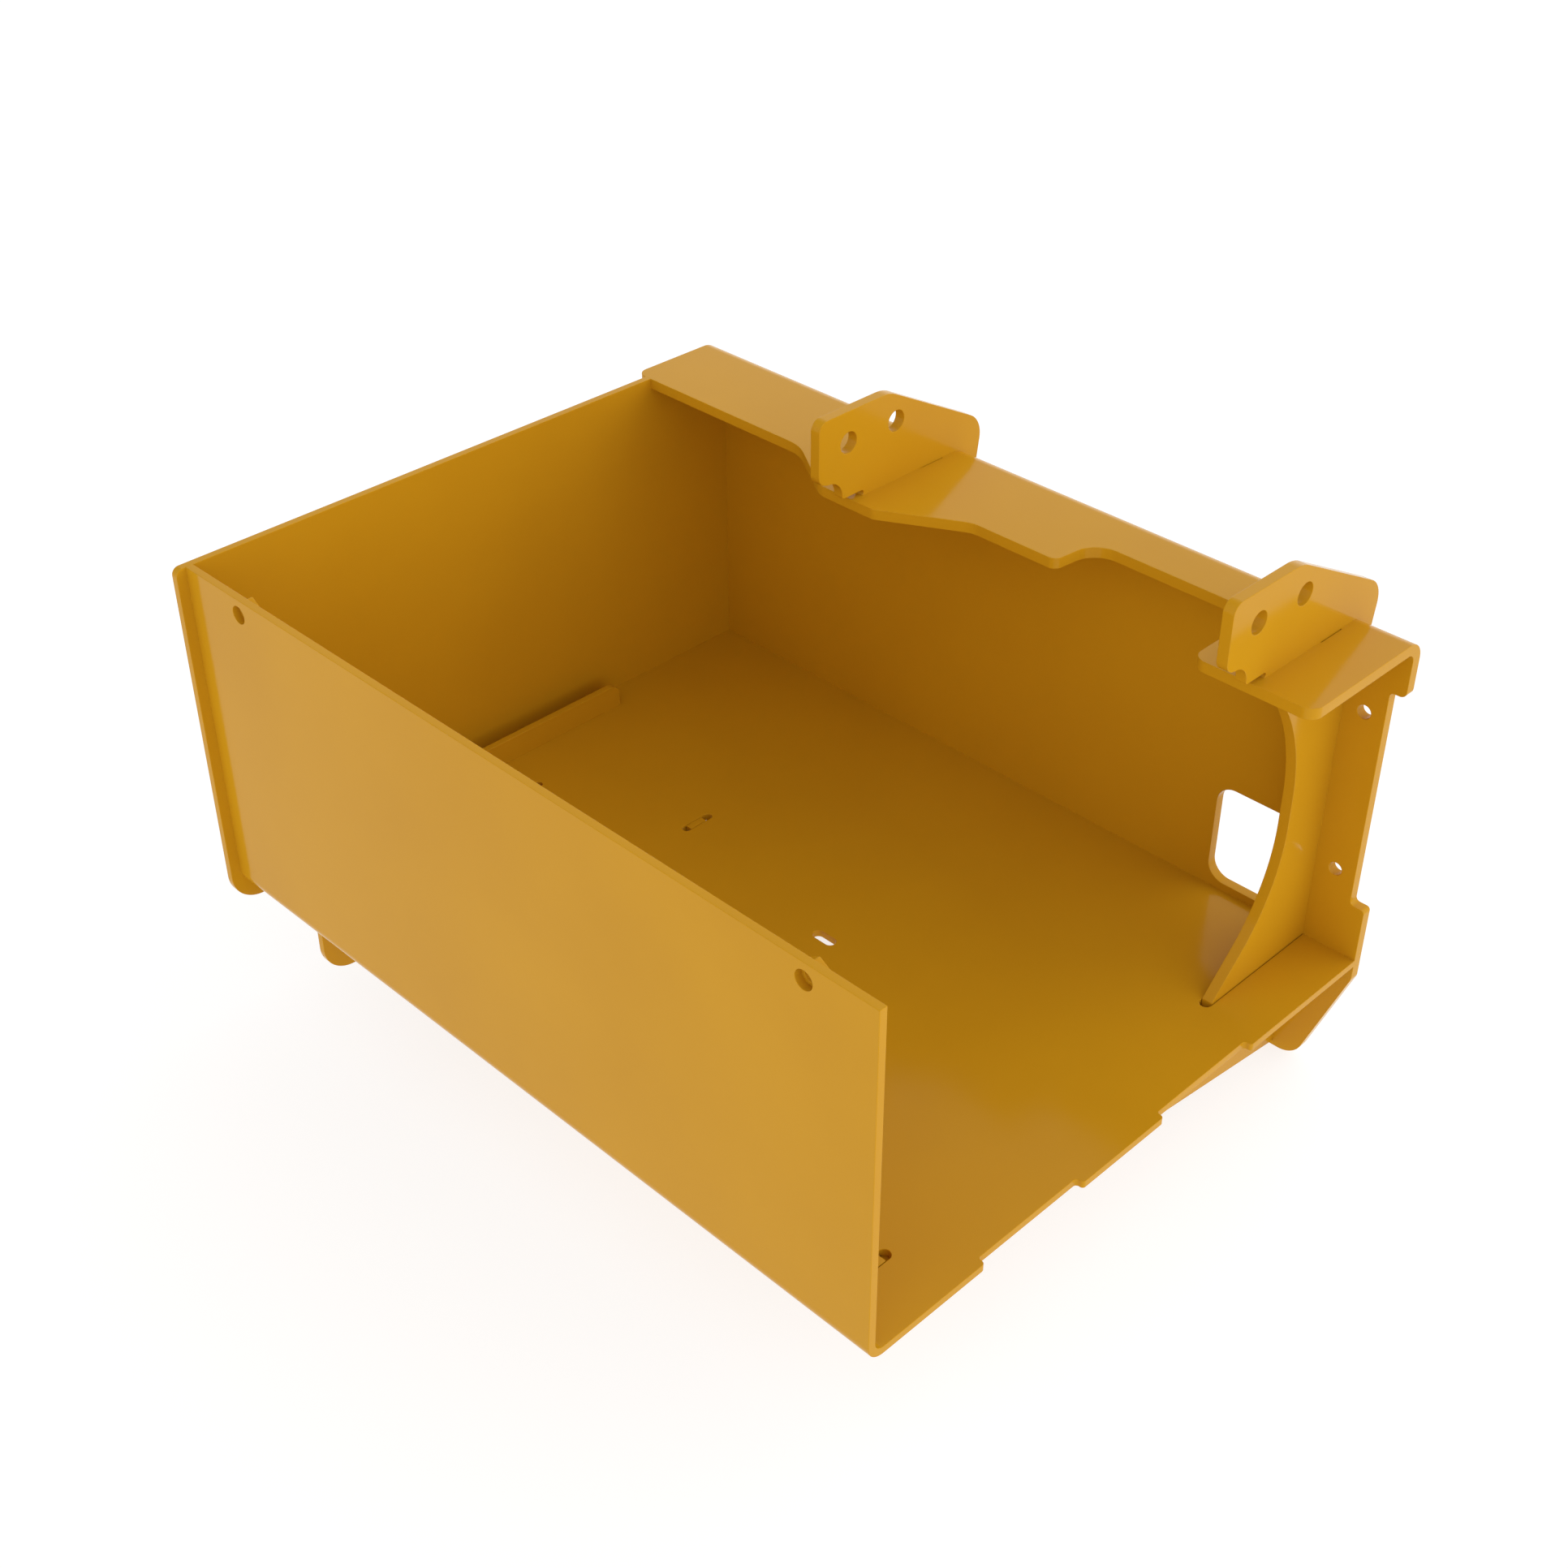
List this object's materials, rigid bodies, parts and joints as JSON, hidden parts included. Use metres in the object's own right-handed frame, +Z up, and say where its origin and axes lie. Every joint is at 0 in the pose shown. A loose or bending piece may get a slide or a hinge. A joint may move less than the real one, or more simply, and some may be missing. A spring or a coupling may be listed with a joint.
{
  "type": "skid steer bucket",
  "caption": "Open-topped box weldment of bent steel sheet with a closed left end, an open right end, two drilled lugs on a top flange, a curved gusset and ribs under the floor.",
  "frame": {"origin": "bounding-box centre in plan, at the lowest edge (the back wall's apron)", "axes": "+X along the box towards its open end, +Y towards the tall back wall with the lugs, +Z up"},
  "size_m": [0.6718, 0.546, 0.4586],
  "materials": {
    "paint": "gloss"
  },
  "bodies": {
    "root": {"front_wall_and_floor": "paint", "back_wall_and_top_flange": "paint", "left_end_plate": "paint", "inner_low_rib": "paint", "underfloor_rib_left": "paint", "underfloor_rib_middle": "paint", "underfloor_rib_right": "paint", "gusset": "paint", "ear_left": "paint", "ear_right": "paint", "weld_nut_left": "paint", "weld_nut_right": "paint"}
  },
  "joints": []
}
